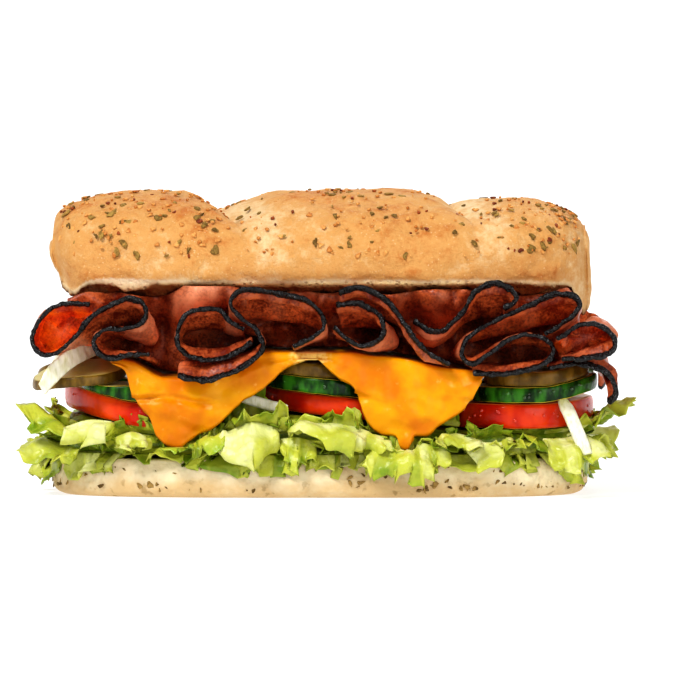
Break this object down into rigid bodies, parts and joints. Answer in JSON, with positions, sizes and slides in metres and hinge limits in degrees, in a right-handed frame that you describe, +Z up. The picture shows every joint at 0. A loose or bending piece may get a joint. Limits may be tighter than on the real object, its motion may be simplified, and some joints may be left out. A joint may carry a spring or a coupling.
{
  "type": "submarine sandwich",
  "caption": "Half-foot submarine sandwich of herb bread with folded smoked meat slices, melted cheese, pickle, cucumber, tomato, onion and lettuce.",
  "frame": {"origin": "centre of the object's box on the plane it rests on", "axes": "+X along the bread, +Y from the open front to the back, +Z up"},
  "size_m": [0.1856, 0.091, 0.0882],
  "materials": {
    "crust": "baked crust, golden with herb flakes",
    "crumb": "pale soft bread with herb flecks",
    "lettuce": "fresh leaf, lightly glossy",
    "tomato": "wet skin, glossy",
    "cucumber": "wet dark green skin",
    "pickle": "wet olive skin, pale face",
    "cheese": "melted, glossy",
    "onion": "moist, slightly see-through",
    "meat": "smoked slice with a black peppered rim"
  },
  "bodies": {
    "root": {"top_bun": "crust", "bottom_bun": "crumb", "lettuce": "lettuce", "tomato_1": "tomato", "tomato_2": "tomato", "tomato_3": "tomato", "cucumber_1": "cucumber", "cucumber_2": "cucumber", "cucumber_3": "cucumber", "cucumber_4": "cucumber", "cucumber_5": "cucumber", "cucumber_6": "cucumber", "pickle_1": "pickle", "pickle_2": "pickle", "pickle_3": "pickle", "pickle_4": "pickle", "pickle_5": "pickle", "pickle_6": "pickle", "cheese_1": "cheese", "cheese_2": "cheese", "onion_1": "onion", "onion_2": "onion", "onion_3": "onion", "onion_4": "onion", "onion_5": "onion", "onion_6": "onion", "meat_1": "meat", "meat_2": "meat", "meat_3": "meat", "meat_4": "meat", "meat_5": "meat", "meat_6": "meat", "meat_7": "meat", "meat_8": "meat", "meat_9": "meat"}
  },
  "joints": []
}
